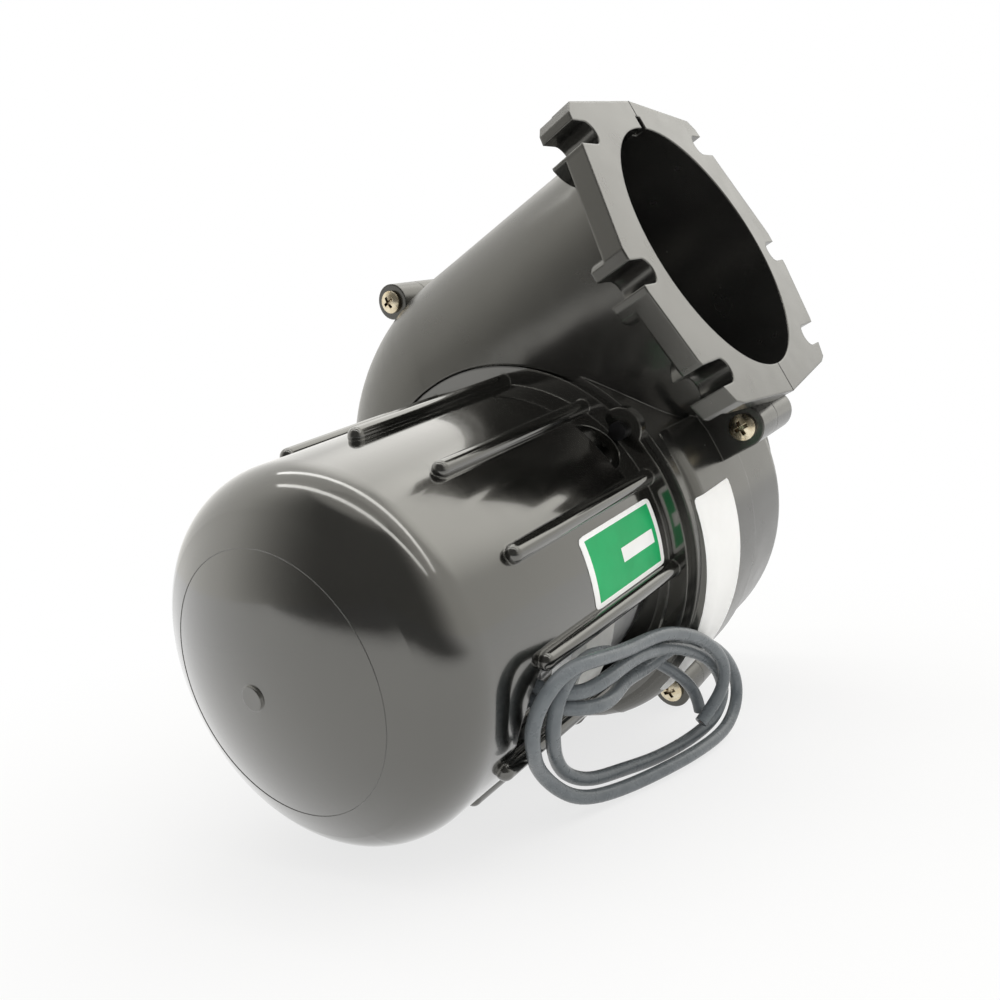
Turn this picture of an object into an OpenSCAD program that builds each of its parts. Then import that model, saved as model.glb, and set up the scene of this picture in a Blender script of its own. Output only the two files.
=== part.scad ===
// Bilge blower lying on its side: a two-half scroll with a round outlet neck,
// a domed motor cover, a sealed direct current motor and a caged impeller.
// Working axes: Y runs along the motor from the dome to the inlet, Z leaves the outlet,
// and Y = 0 is the seam between the two scroll halves. All lengths are millimetres.

/* [Scroll] */
// Outside radius of the scroll beside the tongue
scroll_r = 69; // [67:0.5:72]
// Depth of the motor half from the seam
motor_depth = 45; // [43:0.5:48]
// Depth of the inlet half from the seam
inlet_depth = 40; // [38:0.5:43]
// Wall of both scroll halves
scroll_wall = 3.5; // [2.5:0.1:4]
// Rounding of the scroll's outer edge
edge_r = 9; // [7:0.5:12]
// Step from the motor half down to the inlet half at the seam
seam_step = 1.5; // [0.5:0.1:2]
// Outside radius of the round duct at the bottom of the bend
bend_r = 50.4; // [49.5:0.1:52]
// Sideways place of the neck's axis from the motor's axis
neck_off = 56.7; // [55:0.1:59]
// Sideways place of the bend's centre from the motor's axis
bend_off = 18.3; // [17:0.1:20]
// Drop of the bend's centre below the motor's axis
bend_drop = 2.1; // [1:0.1:3]
// Rise of that disc above the scroll's side
seat_rise = 1; // [0.5:0.1:1.5]
// Thickness of the wall between the motor and the scroll
plate_t = 3.5; // [3:0.1:4]

/* [Outlet] */
// Bore radius of the outlet
outlet_r = 45; // [43:0.1:46]
// Wall of the neck at the flange
neck_wall = 4; // [3:0.1:5]
// Height of the flange's face above the motor's axis
outlet_h = 94; // [90:0.5:100]
// Thickness of the flange
flange_t = 7; // [6:0.5:9]
// Thickness of the flange round each notch
lug_t = 12; // [10:0.5:13]
// Half width of the flange along the seam
flange_x = 55.5; // [54:0.5:58]
// Half depth of the flange at the middle notch
flange_y = 63.5; // [62:0.5:66]
// Width of the clamping notches
notch_w = 8; // [6:0.5:9]

/* [Inlet] */
// Outside radius of the inlet hose collar
collar_r = 50.5; // [49:0.1:52]
// Bore radius of the inlet eye
eye_r = 46; // [44:0.1:47]
// Reach of the collar beyond the inlet wall
collar_len = 35; // [28:0.5:36]

/* [Scroll screws] */
// Radius of the screw bosses
boss_r = 7; // [6:0.1:7.5]
// Place of the boss centres beyond the scroll's wall
boss_out = 4.5; // [3.5:0.1:5]
// Length of the boss on the motor half
boss_len = 14; // [12:0.5:16]
// Length of the boss on the inlet half
boss_len_in = 16; // [14:0.5:18]
// Radius of the screw heads
head_r = 4.4; // [4:0.1:5]
// Height of the screw heads
head_h = 2.8; // [2:0.1:3.2]
// Radius of the screw shanks
shank_r = 2; // [1.6:0.1:2.4]

/* [Motor cover] */
// Outside radius of the cover where the dome begins
cover_r = 53.5; // [53:0.1:55]
// Outside radius of the cover at its foot
foot_r = 57; // [56:0.1:58]
// Wall of the cover
cover_wall = 3; // [2:0.1:3.4]
// Distance of the dome's tip from the seam
cover_len = 169.3; // [166:0.5:174]
// Radius of the dome's crown
dome_r = 91.6; // [85:0.5:100]
// Rounding between the crown and the side
rim_r = 17; // [12:0.5:19]
// Radius of the cover's foot flange
foot_flange_r = 63; // [62:0.1:63.2]
// Thickness of the foot flange
foot_flange_t = 3.5; // [3:0.1:4]
// Number of ribs round the cover
rib_count = 12; // [12:1:12]
// Width of a rib
rib_w = 5.2; // [4.5:0.1:6]
// Height of a rib's middle above the cover
rib_rise = 0.8; // [0.7:0.1:0.9]
// Distance of the rib starts from the seam
rib_start = 122; // [118:0.5:126]
// Half width of the opening in the cover's side
window_w = 18.6; // [17:0.1:19]
// Distance of the opening's round end from the seam
window_top = 131; // [128:0.5:132]
// Middle of the opening, as an angle from sideways to the outlet
window_ang = 41.5; // [40.5:0.1:42.5]
// Half width of the screw pockets
pocket_w = 9; // [8:0.1:9.5]

/* [Motor] */
// Outside radius of the motor
motor_r = 48; // [46:0.1:48.5]
// Wall of the motor's steel shell
shell_wall = 2.5; // [2:0.1:3]
// Length of the steel shell
shell_len = 56; // [54:0.5:58]
// Thickness of the front plate
front_t = 4; // [3.5:0.1:5]
// Length of the plastic end cap
cap_len = 22; // [21:0.5:24]
// Radius of the shaft
shaft_r = 4; // [3:0.1:4.5]
// Radius of the armature
arm_r = 34; // [32:0.5:35]
// Length of the armature's core
arm_len = 34; // [30:0.5:36]
// Radius of the commutator
comm_r = 11; // [10:0.1:12]
// Outside radius of the ball bearings
bearing_r = 11; // [10:0.1:12]
// Width of the ball bearings
bearing_w = 7; // [6:0.1:7.5]
// Width of the rubber cushion round the motor
cushion_w = 16; // [12:0.5:18]

/* [Impeller] */
// Outside radius of the impeller
wheel_r = 59; // [56:0.5:60]
// Length of the impeller along the shaft
wheel_len = 69; // [64:0.5:70]
// Radial depth of the blades
blade_d = 14; // [12:0.5:16]
// Number of blades
blade_count = 24; // [18:1:30]
// Thickness of the blades
blade_t = 1.6; // [1.2:0.1:2]
// Radius of the hub
hub_r = 9; // [8:0.5:11]

/* [Leads] */
// Diameter of the two leads
lead_d = 4; // [4:0.1:4.2]

/* [Hidden] */
$fn = 96;

// running clearance of the shaft, and seats inside one body
run_c = 0.03;
seat_c = 0.1;
gap_c = 0.3;
foot_gap = 0.5;
sill = 0.6;
eps = 1;

// places along the motor's axis, counted from the seam
plate_y = -(motor_depth + seat_rise);
plate_in = plate_y + plate_t;
front_y = plate_y - front_t;
shell_y = front_y - shell_len;
cap_y = shell_y - cap_len;
foot_y = plate_y - foot_flange_t;
dome_y = -cover_len;

// dome: crown centre, rim centre and where they meet
crown_y = dome_y + dome_r;
rim_x = cover_r - rim_r;
rim_y = crown_y - sqrt(pow(dome_r - rim_r, 2) - pow(rim_x, 2));
side_slope = (foot_r - cover_r) / (foot_y - rim_y);
function cover_at(y) = cover_r + (y - rim_y) * side_slope;

// scroll: centres of the arcs in the plane of the seam
bend_line = neck_off - bend_off;
bend_out = bend_line + bend_r;
bend_c = [-bend_off, -bend_drop];
start_c = [bend_out - bend_off - scroll_r, -bend_drop];
neck_out_r = outlet_r + neck_wall;
inlet_in = inlet_depth - scroll_wall;
stop_y = max(bend_r, inlet_depth) + 0.6;
seat_r = foot_flange_r + foot_gap + 0.5;
chamber_r = scroll_r - scroll_wall - norm(start_c) - 0.1;

// the four screws that join the halves
tongue_boss = [1.2, 78.5];
start_boss = start_c + (scroll_r + boss_out) * [cos(4.7), sin(4.7)];
left_boss = bend_c + (bend_out + boss_out) * [cos(193), sin(193)];
low_boss = bend_c + (bend_out + boss_out) * [cos(285), sin(285)];
bosses = [tongue_boss, start_boss, left_boss, low_boss];

// the notches of the outlet flange, as the centres of their round ends
notches = [[-40.5, 42.5], [5.8, 56], [40.5, 42.5]];

// the cover's screw pockets, the strut ribs and the lead outlet
pocket_angles = [106, 226, 346];
pocket_floor = motor_r + 3;
cover_screw_r = 60.2;
ear_r = 7;
lead_ang = 48;
lead_y = cap_y + 7;
grommet_h = 1.6;

// lying pose: turned about the motor's axis, tipped, then set on the floor
rest_roll = 68.6;
rest_tip = 9.7;
rest_shift = [5.17, 42.88, 77.01];

module rest_pose() {
  translate(rest_shift) rotate([rest_tip, 0, 0]) rotate([0, rest_roll, 0]) children();
}

// the same pose for a single point
function tipped(p) = [p[0], p[1] * cos(rest_tip) - p[2] * sin(rest_tip), p[1] * sin(rest_tip) + p[2] * cos(rest_tip)];
function rolled(p) = [p[0] * cos(rest_roll) + p[2] * sin(rest_roll), p[1], p[2] * cos(rest_roll) - p[0] * sin(rest_roll)];
function laid(p) = rest_shift + tipped(rolled(p));

// turns a shape drawn along Z so that it runs along Y
module along_y() {
  rotate([-90, 0, 0]) children();
}

// turns a shape drawn at +X to an angle about the motor's axis
module at_angle(a) {
  rotate([0, -a, 0]) children();
}

// a round bar along Y between two stations
module bar_y(r, y0, y1) {
  translate([0, y0, 0]) along_y() cylinder(r = r, h = y1 - y0);
}

// a ring along Y between two stations
module ring_y(ro, ri, y0, y1) {
  difference() {
    bar_y(ro, y0, y1);
    bar_y(ri, y0 - eps, y1 + eps);
  }
}

// half of space on one side of the seam
module seam_side(s) {
  translate([-200, s > 0 ? 0 : -400, -200]) cube([400, 400, 400]);
}

// section of the scroll with a rounded outer corner, in as many steps as the loft has
loft_n = 15;
loft_k = 9;
loft_in = 0.2;
module scroll_section(r, d, e, z0) {
  polygon(concat([[0, z0], [r, z0]],
    [for (j = [0 : loft_k]) [r - e + e * cos(90 * j / loft_k), d - e + e * sin(90 * j / loft_k)]],
    [[0, d]]));
}

// loft of the growing stretch, from the square section to the round duct
function loft_ring(t, inset, depth, step, z0) =
  let (
    r = bend_out - inset - step * (1 - t),
    d = (depth - inset) * (1 - t) + (bend_r - inset) * t,
    a = (edge_r - inset) * (1 - t) + (bend_r - inset) * t,
    b = (edge_r - inset) * (1 - t) + (bend_r - inset - 0.5) * t
  )
  concat([[10, z0], [r, z0]],
    [for (j = [0 : loft_k]) [r - a + a * cos(90 * j / loft_k), d - b + b * sin(90 * j / loft_k)]],
    [[10, d]]);

module scroll_loft(inset, depth, step, z0) {
  m = loft_k + 4;
  pts = [for (i = [0 : loft_n]) for (q = loft_ring(i / loft_n, inset, depth, step, z0))
    [q[0] * cos(90 * i / loft_n), q[0] * sin(90 * i / loft_n), q[1]]];
  sides = [for (i = [0 : loft_n - 1]) for (j = [0 : m - 1]) for (h = [0, 1])
    h == 0 ? [i * m + j, i * m + (j + 1) % m, (i + 1) * m + (j + 1) % m]
           : [i * m + j, (i + 1) * m + (j + 1) % m, (i + 1) * m + j]];
  first = [for (j = [0 : m - 1]) m - 1 - j];
  last = [for (j = [0 : m - 1]) loft_n * m + j];
  polyhedron(points = pts, faces = concat(sides, [first], [last]), convexity = 4);
}

// one side of the spiral, standing on the seam
module spiral(inset, depth, step, z0) {
  translate([start_c[0], -start_c[1], 0])
    rotate([0, 0, -100]) rotate_extrude(angle = 100)
      scroll_section(scroll_r - step - inset, depth - inset, edge_r - inset, z0);
  translate([bend_c[0], -bend_c[1], 0]) {
    scroll_loft(inset + loft_in, depth, step, z0);
    rotate([0, 0, 90]) rotate_extrude(angle = 90) intersection() {
      translate([bend_line, 0]) circle(r = bend_r - inset);
      translate([0, z0]) square([bend_out, bend_r]);
    }
  }
}

// the spiral on one side of the seam
module spiral_side(s, inset, depth, step, z0) {
  if (s > 0) along_y() spiral(inset, depth, step, z0);
  else mirror([0, 1, 0]) along_y() spiral(inset, depth, step, z0);
}

// the tapered round neck, with its outside at the flange given
module neck(inset, top_r, extra) {
  translate([-neck_off, 0, bend_c[1]])
    cylinder(r1 = bend_r - inset, r2 = top_r, h = outlet_h - bend_c[1]);
  if (extra > 0)
    translate([-neck_off, 0, outlet_h - eps]) cylinder(r = top_r, h = eps + extra);
}

// outline of half a flange, on the +Y side of the seam
module flange_outline() {
  polygon([[-flange_x, 0], [-flange_x + 4.5, 45], [-flange_x + 8, 48.5], [-35, 52], [-2, flange_y],
    [12, flange_y - 0.8], [35, 56], [flange_x - 5.5, 46.5], [flange_x - 4, 42], [flange_x, 0]]);
}

module flange_notches() {
  for (n = notches) translate(n) {
    circle(r = notch_w / 2);
    translate([-notch_w / 2, 0]) square([notch_w, 30]);
  }
}

module flange_half() {
  translate([-neck_off, 0, outlet_h - flange_t]) linear_extrude(flange_t) difference() {
    flange_outline();
    flange_notches();
  }
  translate([-neck_off, 0, outlet_h - lug_t]) linear_extrude(lug_t) difference() {
    intersection() {
      flange_outline();
      union() for (n = notches) translate(n) circle(r = notch_w / 2 + 6.5);
    }
    flange_notches();
  }
}

// bosses of the joining screws on one half, with webs behind the tongue's boss and the start boss
module boss_set(s, len) {
  for (b = bosses) translate([b[0], s > 0 ? 0 : -len, b[1]]) along_y() cylinder(r = boss_r, h = len);
  translate([-neck_off + outlet_r + 1, s > 0 ? 0 : -len, scroll_r - 12])
    cube([tongue_boss[0] + boss_r + neck_off - outlet_r - 1, len, tongue_boss[1] - scroll_r + 12]);
  translate([start_boss[0] - boss_r, s > 0 ? 0 : -len, start_boss[1] - boss_r + 0.2]) cube([boss_r, len, boss_r]);
}

module scroll_half(s, depth, step, len, deeper) {
  difference() {
    union() {
      spiral_side(s, 0, depth, step, 0);
      intersection() {
        neck(0, neck_out_r, 0);
        seam_side(s);
      }
      if (s > 0) flange_at(1);
      else flange_at(-1);
      boss_set(s, len);
      children(0);
    }
    difference() {
      union() {
        spiral_side(s, scroll_wall, depth, step, -eps);
        neck(scroll_wall, outlet_r, eps);
        bar_y(chamber_r - step, s > 0 ? -eps : -(depth - scroll_wall + deeper),
          s > 0 ? depth - scroll_wall + deeper : eps);
      }
      children(1);
    }
    children(2);
    seam_key();
  }
}

module flange_at(s) {
  if (s > 0) flange_half();
  else mirror([0, 1, 0]) flange_half();
}

// small keyway across the seam in the flange's left end
module seam_key() {
  translate([-neck_off - outlet_r - 4.5, -1.8, outlet_h - 4]) cube([6, 3.6, 4 + eps]);
}

module scroll_motor_half() {
  color("#26272a") rest_pose() difference() {
    scroll_half(-1, motor_depth, 0, boss_len, seat_rise + 0.5) {
      bar_y(seat_r + 1, plate_y, -eps);
      bar_y(seat_r + 3, plate_y - 30, plate_in);
      foot_plate(foot_gap, plate_y - 30, plate_y);
    }
    bar_y(bearing_r + 3, plate_y - eps, plate_in + eps);
    for (b = bosses) translate([b[0], 0, b[1]]) bar_y(shank_r + seat_c, -boss_len - eps, eps);
    motor_screw_places() bar_y(shank_r + seat_c, plate_y - eps, plate_in + eps);
    cover_screw_places() bar_y(1.5 + seat_c, plate_y - eps, plate_in + eps);
  }
}

module scroll_inlet_half() {
  color("#2c2d30") rest_pose() difference() {
    scroll_half(1, inlet_depth, seam_step, boss_len_in, gap_c) {
      union() {
        bar_y(collar_r + 2, eps, stop_y);
        bar_y(collar_r, inlet_depth - eps, inlet_depth + collar_len);
      }
      ring_y(collar_r + 2, eye_r, inlet_in, inlet_depth + collar_len);
      bar_y(eye_r, inlet_in - eps, inlet_depth + collar_len + eps);
    }
    for (b = bosses) translate([b[0], 0, b[1]]) bar_y(shank_r + seat_c, -eps, boss_len_in - 2);
  }
}

module scroll_screws() {
  color("#b59a5a") rest_pose() for (b = bosses) translate([b[0], 0, b[1]]) {
    difference() {
      intersection() {
        bar_y(head_r, -boss_len - head_h, -boss_len);
        translate([0, -boss_len - head_h + 7.5, 0]) sphere(r = 7.5);
      }
      translate([-0.6, -boss_len - head_h - eps, -2.4]) cube([1.2, eps + 1.4, 4.8]);
      translate([-2.4, -boss_len - head_h - eps, -0.6]) cube([4.8, eps + 1.4, 1.2]);
    }
    bar_y(shank_r, -boss_len, boss_len_in - 3);
  }
}

// section of the domed cover, drawn as radius against place along the motor
module cover_section(inset, foot) {
  r = dome_r - inset;
  meet = rim_x * r / (dome_r - rim_r);
  intersection() {
    translate([0, crown_y]) circle(r = r);
    translate([0, dome_y - eps]) square([meet, rim_y - dome_y + eps]);
  }
  translate([rim_x, rim_y]) circle(r = rim_r - inset);
  polygon([[0, rim_y], [cover_r - inset, rim_y], [cover_at(foot) - inset, foot], [0, foot]]);
}

module cover_screw_places() {
  for (a = pocket_angles) at_angle(a) translate([cover_screw_r, 0, 0]) children();
}

// the cover's foot flange with an ear at each screw, and the recess for it in the scroll
module foot_plate(grow, y0, y1) {
  translate([0, y0, 0]) along_y() linear_extrude(y1 - y0) {
    circle(r = foot_flange_r + grow);
    for (a = pocket_angles) rotate(-a) translate([cover_screw_r + gap_c, 0]) circle(r = ear_r + grow);
  }
}

// a round-nosed rib that follows the cover's taper
module cover_rib(a, y0) {
  lean = atan(side_slope);
  at_angle(a) translate([cover_at(y0) + rib_rise, y0, 0]) rotate([0, 0, -lean]) {
    along_y() rotate_extrude() {
      square([rib_w / 2, (plate_y - 1 - y0) / cos(lean)]);
      intersection() {
        circle(r = rib_w / 2);
        translate([0, -rib_w]) square([rib_w, rib_w + 0.5]);
      }
    }
  }
}

// the opening in the cover's side, drawn through its wall
module cover_window() {
  at_angle(window_ang) translate([motor_r - 10, 0, 0]) rotate([0, 90, 0]) linear_extrude(30) {
    translate([0, window_w - window_top]) circle(r = window_w);
    translate([-window_w, window_w - window_top]) square([2 * window_w, window_top - window_w + foot_y - sill]);
  }
}

// a screw pocket, straight on the dome side and round on the scroll side
module pocket_shape(w, y0) {
  rotate([0, 90, 0]) linear_extrude(20) intersection() {
    translate([0, y0]) circle(r = w);
    translate([-w, y0]) square([2 * w, foot_y - y0]);
  }
}

module motor_cover() {
  y0 = foot_y - pocket_w - 2;
  color("#1b1c1e") rest_pose() difference() {
    union() {
      difference() {
        union() {
          along_y() rotate_extrude() cover_section(0, foot_y);
          foot_plate(0, foot_y, plate_y);
          translate([0, dome_y - 0.6, 0]) along_y() cylinder(r = 3.4, h = 2);
        }
        along_y() rotate_extrude() cover_section(cover_wall, plate_y + eps);
        cover_window();
      }
      for (a = pocket_angles) at_angle(a) intersection() {
        translate([pocket_floor - 2, 0, 0]) pocket_shape(pocket_w + 3, y0 - 3);
        bar_y(cover_at(y0) - 0.5, y0 - 20, foot_y + 1);
      }
      for (i = [0 : rib_count - 1]) cover_rib(i * 360 / rib_count, i == 1 ? -window_top - 2 : -rib_start);
    }
    for (a = pocket_angles) at_angle(a) translate([pocket_floor, 0, 0]) pocket_shape(pocket_w, y0);
    cover_screw_places() bar_y(1.5 + seat_c, foot_y - eps, plate_y + eps);
  }
}

module cover_screws() {
  color("#3a3a3c") rest_pose() cover_screw_places() {
    bar_y(cover_screw_r - foot_r - gap_c, foot_y - 2.2, foot_y);
    bar_y(1.5, foot_y, plate_in);
  }
}

module motor_shell() {
  color("#e4e6e8") rest_pose() ring_y(motor_r, motor_r - shell_wall, shell_y, front_y);
}

module motor_screw_places() {
  for (a = [30, 150, 270]) at_angle(a) translate([30, 0, 0]) children();
}

module bolt_places() {
  for (a = [90, 270]) at_angle(a) translate([motor_r - shell_wall - 4, 0, 0]) children();
}

module motor_front_plate() {
  color("#b9bcc0") rest_pose() difference() {
    union() {
      bar_y(motor_r, front_y, plate_y);
      bar_y(motor_r - shell_wall - seat_c, front_y - 2, front_y + eps);
      bar_y(bearing_r + 3, plate_y - bearing_w - 2, plate_y);
    }
    bar_y(bearing_r + seat_c, plate_y - bearing_w, plate_y + eps);
    bar_y(shaft_r + 2, plate_y - bearing_w - 2 - eps, plate_y);
    motor_screw_places() bar_y(shank_r + seat_c, front_y - 2 - eps, plate_y + eps);
    bolt_places() bar_y(2 + seat_c, front_y - 2 - eps, plate_y - 1);
  }
}

module motor_end_cap() {
  color("#202124") rest_pose() difference() {
    union() {
      difference() {
        bar_y(motor_r, cap_y, shell_y);
        bar_y(motor_r - 3, cap_y + 4, shell_y + eps);
      }
      bar_y(bearing_r + 3, cap_y, cap_y + 4 + bearing_w);
    }
    bar_y(bearing_r + seat_c, cap_y + 4, cap_y + 4 + bearing_w + eps);
    bolt_places() bar_y(2 + seat_c, cap_y - eps, cap_y + 5);
    at_angle(lead_ang) translate([motor_r - 5, lead_y, 0]) rotate([0, 90, 0])
      cylinder(r = 5 + seat_c, h = 10);
  }
}

module through_bolts() {
  color("#9a9da1") rest_pose() bolt_places() {
    bar_y(3.6, cap_y - 2.6, cap_y);
    bar_y(2, cap_y, plate_y - 1.5);
  }
}

module motor_screws() {
  color("#9a9da1") rest_pose() motor_screw_places() {
    bar_y(3.6, plate_in, plate_in + 2.4);
    bar_y(shank_r, front_y - 1.5, plate_in);
  }
}

// rubber ring between the motor and the cover's tapered inside
cushion_mid = (shell_y + front_y) / 2 - 9;
module cushion_ring() {
  y0 = cushion_mid - cushion_w / 2;
  y1 = cushion_mid + cushion_w / 2;
  color("#141415") rest_pose() along_y() rotate_extrude() polygon([[motor_r + 0.05, y0],
    [cover_at(y0) - cover_wall - seat_c, y0], [cover_at(y1) - cover_wall - seat_c, y1], [motor_r + 0.05, y1]]);
}

arm_y1 = front_y - 12;
arm_y0 = arm_y1 - arm_len;
module field_magnets() {
  color("#5b5c5f") rest_pose() for (a = [0, 180]) at_angle(a) intersection() {
    ring_y(motor_r - shell_wall - seat_c, arm_r + 1.2, arm_y0 - 3, arm_y1 + 3);
    translate([0, 0, 0]) along_y() rotate([0, 0, -70]) translate([0, 0, arm_y0 - 10])
      rotate_extrude(angle = 140) square([motor_r, arm_len + 20]);
  }
}

module bearing_at(y0) {
  ring_y(bearing_r, bearing_r - 2.2, y0, y0 + bearing_w);
  ring_y(shaft_r + 2, shaft_r + run_c, y0, y0 + bearing_w);
  ring_y(bearing_r - 2.1, shaft_r + 1.9, y0 + 1, y0 + bearing_w - 1);
}

module front_bearing() {
  color("#c9ccd0") rest_pose() bearing_at(plate_y - bearing_w);
}

module rear_bearing() {
  color("#c9ccd0") rest_pose() bearing_at(cap_y + 4);
}

comm_y1 = arm_y0 - 7;
comm_y0 = comm_y1 - 12;
brush_y = comm_y0 + 5;
brush_top = 26;
module brush_plate() {
  color("#6b4a2a") rest_pose() difference() {
    union() {
      ring_y(motor_r - 3 - seat_c, bearing_r + 4, comm_y0 - 5, comm_y0 - 2);
      for (a = [0, 180]) at_angle(a) translate([bearing_r + 3.5, comm_y0 - 5, -6])
        cube([brush_top + 7 - bearing_r - 3.5, 14, 12]);
    }
    for (a = [0, 180]) at_angle(a) translate([comm_r, brush_y - 3 - seat_c, -3.5 - seat_c])
      cube([brush_top + 5 - comm_r, 6 + 2 * seat_c, 7 + 2 * seat_c]);
    bolt_places() bar_y(2 + 4 * seat_c, comm_y0 - 20, comm_y0 + 20);
  }
}

module brushes() {
  color("#303032") rest_pose() for (a = [0, 180]) at_angle(a) difference() {
    translate([comm_r - 1, brush_y - 3, -3.5]) cube([brush_top - comm_r + 1, 6, 7]);
    rotate([0, a, 0]) bar_y(comm_r + run_c * 3, comm_y0 - 10, comm_y1 + 10);
  }
}

module brush_springs() {
  color("#a8873f") rest_pose() for (a = [0, 180]) at_angle(a)
    translate([brush_top, brush_y, 0]) rotate([0, 90, 0]) difference() {
      cylinder(r = 2.6, h = 5);
      translate([0, 0, -eps]) cylinder(r = 1.8, h = 5 + 2 * eps);
    }
}

module lead_grommet() {
  color("#111112") rest_pose() at_angle(lead_ang) translate([motor_r - 2.8, lead_y, 0]) rotate([0, 90, 0]) {
    cylinder(r = 5, h = 2.8);
    translate([0, 0, 2.8]) cylinder(r1 = 6.6, r2 = 5.8, h = grommet_h);
  }
}

// routes of the two leads where they lie, after the first two points at the grommet
lead_side = 2.35;
positive_way = [[61.5, -71.5, 39], [65, -67, 38.5], [67, -58, 40], [66, -42, 41], [66, -27, 40], [66, -13, 37],
  [67, 2, 31], [67, 12, 24], [66, 18, 16], [64, 17, 9], [62, 11, 5], [59, -3, 3], [56, -19, 3], [54, -34, 5],
  [52, -49, 7], [51, -59, 12], [53, -66, 18], [57, -73, 25], [61, -78, 33], [63, -77, 40], [64, -70, 45],
  [63, -58, 46], [62, -45, 43], [59, -32, 39], [56, -21, 36], [55, -10, 32], [57, -2, 27], [59, 4, 22],
  [60, 9, 16], [60, 11, 10]];
negative_way = [[58.5, -71.5, 35], [63, -67.5, 34], [66, -58, 33], [62, -42, 34], [60, -27, 33], [60, -14, 34],
  [62, -5, 36], [66, 4, 35], [67, 14, 30], [67, 22, 24], [67, 27, 17], [67, 26, 10], [67, 19, 5], [67, 8, 3],
  [66, -10, 3], [63, -26, 3], [59, -41, 3], [55, -57, 5], [53, -67, 11], [53, -75, 19], [57, -82, 26],
  [60, -86, 34], [64, -85, 42], [67, -78, 47], [69, -67, 47], [69, -56, 46], [68, -43, 45], [69, -28, 45],
  [71, -13, 41], [72, -2, 35], [72, 6, 28], [70, 9, 20], [67, 7, 14], [64, 2, 9]];

function lead_exit(side, out) =
  let (r = motor_r + grommet_h + out)
  laid([r * cos(lead_ang) - side * sin(lead_ang), lead_y, r * sin(lead_ang) + side * cos(lead_ang)]);
function unit(v) = v / norm(v);

// a point on the smooth curve from one point of a route to the next
function between(w, i, f) =
  let (a = w[i - 1], b = w[i], c = w[i + 1], d = w[min(i + 2, len(w) - 1)])
  b + (c - a) * f / 2 + (2 * a - 5 * b + 4 * c - d) * f * f / 2 + (3 * b - a - 3 * c + d) * f * f * f / 2;
function smooth(w) =
  concat([w[0]], [for (i = [1 : len(w) - 2]) for (f = [0, 0.5]) between(w, i, f)], [w[len(w) - 1]]);

// a plain round tube through the points of a route
module lead_tube(way) {
  n = len(way);
  m = 10;
  pts = [for (i = [0 : n - 1])
    let (
      t = unit(way[min(i + 1, n - 1)] - way[max(i - 1, 0)]),
      u = unit(cross([1, 0, -1], t)),
      v = cross(t, u)
    )
    for (j = [0 : m - 1]) way[i] + lead_d / 2 * (cos(360 * j / m) * u + sin(360 * j / m) * v)];
  sides = [for (i = [0 : n - 2]) for (j = [0 : m - 1]) for (h = [0, 1])
    h == 0 ? [i * m + j, (i + 1) * m + j, (i + 1) * m + (j + 1) % m]
           : [i * m + j, (i + 1) * m + (j + 1) % m, i * m + (j + 1) % m]];
  first = [for (j = [0 : m - 1]) j];
  last = [for (j = [0 : m - 1]) n * m - 1 - j];
  polyhedron(points = pts, faces = concat(sides, [first], [last]), convexity = 6);
}

module lead_positive() {
  color("#6a7077")
    lead_tube(smooth(concat([lead_exit(lead_side, 0.05), lead_exit(lead_side, 4)], positive_way)));
}

module lead_negative() {
  color("#5c6167")
    lead_tube(smooth(concat([lead_exit(-lead_side, 0.05), lead_exit(-lead_side, 4)], negative_way)));
}

wheel_y0 = plate_in + 5.5;
wheel_y1 = wheel_y0 + wheel_len;
hub_y1 = wheel_y0 + 26;
module motor_shaft() {
  color("#d2d4d7") rest_pose() bar_y(shaft_r, cap_y + 5, hub_y1 + 8);
}

module armature_core() {
  color("#7d7f83") rest_pose() difference() {
    bar_y(arm_r, arm_y0, arm_y1);
    bar_y(shaft_r + run_c, arm_y0 - eps, arm_y1 + eps);
    for (i = [0 : 7]) at_angle(i * 45) {
      translate([arm_r - 8, 0, 0]) bar_y(4.5, arm_y0 - eps, arm_y1 + eps);
      translate([arm_r - 6, arm_y0 - eps, -1]) cube([8, arm_len + 2 * eps, 2]);
    }
  }
}

module armature_winding() {
  color("#b4622e") rest_pose() {
    for (y0 = [arm_y0 - 6, arm_y1]) ring_y(arm_r - 4, shaft_r + 5, y0, y0 + 6);
    for (i = [0 : 7]) at_angle(i * 45) translate([arm_r - 8, 0, 0])
      bar_y(4.5 - 2 * seat_c, arm_y0 - 1, arm_y1 + 1);
  }
}

module commutator() {
  color("#c07a45") rest_pose() difference() {
    bar_y(comm_r, comm_y0, comm_y1);
    bar_y(shaft_r + run_c, comm_y0 - eps, comm_y1 + eps);
    for (i = [0 : 15]) at_angle(i * 22.5 + 11.25) translate([comm_r - 0.8, comm_y0 - eps, -0.25])
      cube([2, 10, 0.5]);
  }
}

module shaft_slinger() {
  color("#18181a") rest_pose() difference() {
    union() {
      bar_y(bearing_r + 1, plate_in + 0.6, plate_in + 2.2);
      bar_y(shaft_r + 2, plate_in + 0.6, wheel_y0 - 0.05);
    }
    bar_y(shaft_r + run_c, plate_in, wheel_y0 + eps);
  }
}

// one curved blade, drawn in the plane of the impeller
blade_bow = 11;
module blade_shape() {
  mid = wheel_r - blade_d / 2;
  intersection() {
    translate([mid, -blade_bow * 0.75]) difference() {
      circle(r = blade_bow);
      circle(r = blade_bow - blade_t);
    }
    difference() {
      circle(r = wheel_r - 0.2);
      circle(r = wheel_r - blade_d);
    }
    translate([wheel_r - blade_d - 2, 0]) square([blade_d + 4, blade_bow]);
  }
}

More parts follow.
